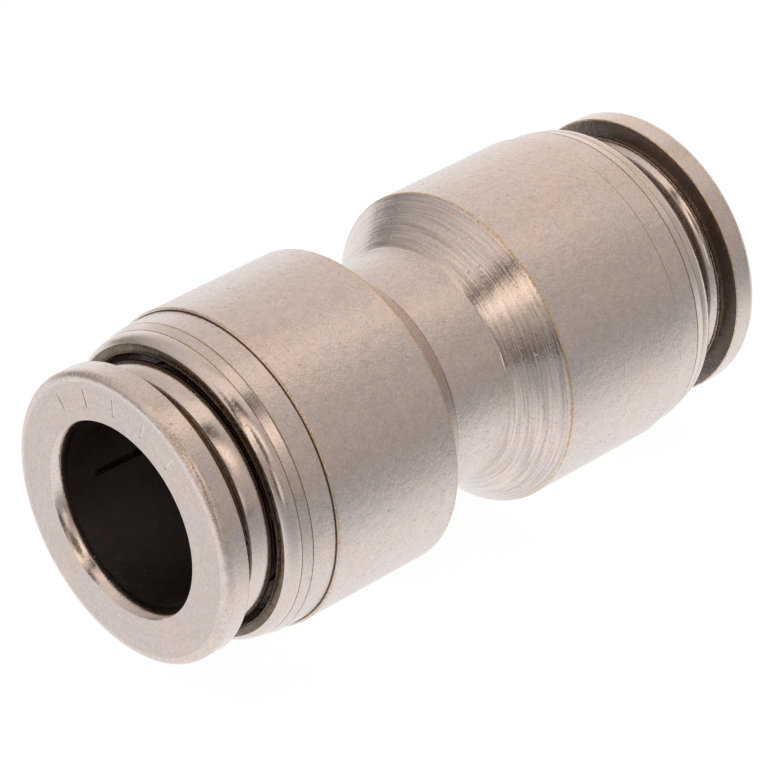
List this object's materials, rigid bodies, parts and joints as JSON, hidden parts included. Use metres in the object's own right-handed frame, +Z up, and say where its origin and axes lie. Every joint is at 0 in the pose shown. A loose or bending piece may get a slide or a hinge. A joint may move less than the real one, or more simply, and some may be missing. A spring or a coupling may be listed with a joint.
{
  "type": "push to connect fitting",
  "caption": "Straight union that grips and seals two equal round air tubes pushed into its ends; pressing an end ring lets the tube go.",
  "frame": {"origin": "centre of the body, on its axis, halfway between the two release rings", "axes": "+X along the tube axis towards the right end, +Z up as it lies level; the part is round about X"},
  "size_m": [0.0454, 0.021, 0.021],
  "materials": {
    "body_plate": "satin nickel plate over brass",
    "push_ring_plate": "polished nickel plate over brass",
    "guide_plate": "satin nickel plate over brass",
    "claw_steel": "stamped stainless spring steel",
    "backup_brass": "turned and nickel plated",
    "seal_rubber": "matt black"
  },
  "bodies": {
    "housing": {"body": "body_plate", "guide_ring_left": "guide_plate", "guide_ring_right": "guide_plate", "backup_ring_left": "backup_brass", "backup_ring_right": "backup_brass", "elastic_sleeve_left": "seal_rubber", "elastic_sleeve_right": "seal_rubber"},
    "grip_left": {"lock_claws_left": "claw_steel"},
    "push_ring_left": {"release_ring_left": "push_ring_plate"},
    "grip_right": {"lock_claws_right": "claw_steel"},
    "push_ring_right": {"release_ring_right": "push_ring_plate"}
  },
  "joints": [
    {"name": "grip_turn_left", "type": "hinge", "parent": "housing", "child": "grip_left", "pos_m": [-0.0122, 0, 0], "axis": [1, 0, 0], "continuous": true},
    {"name": "release_push_left", "type": "slide", "parent": "grip_left", "child": "push_ring_left", "axis": [1, 0, 0], "range_m": [0, 0.002], "stiffness_N_per_m": 1500, "deforming": ["lock_claws_left"]},
    {"name": "grip_turn_right", "type": "hinge", "parent": "housing", "child": "grip_right", "pos_m": [0.0122, 0, 0], "axis": [1, 0, 0], "continuous": true},
    {"name": "release_push_right", "type": "slide", "parent": "grip_right", "child": "push_ring_right", "axis": [-1, 0, 0], "range_m": [0, 0.002], "stiffness_N_per_m": 1500, "deforming": ["lock_claws_right"]}
  ]
}
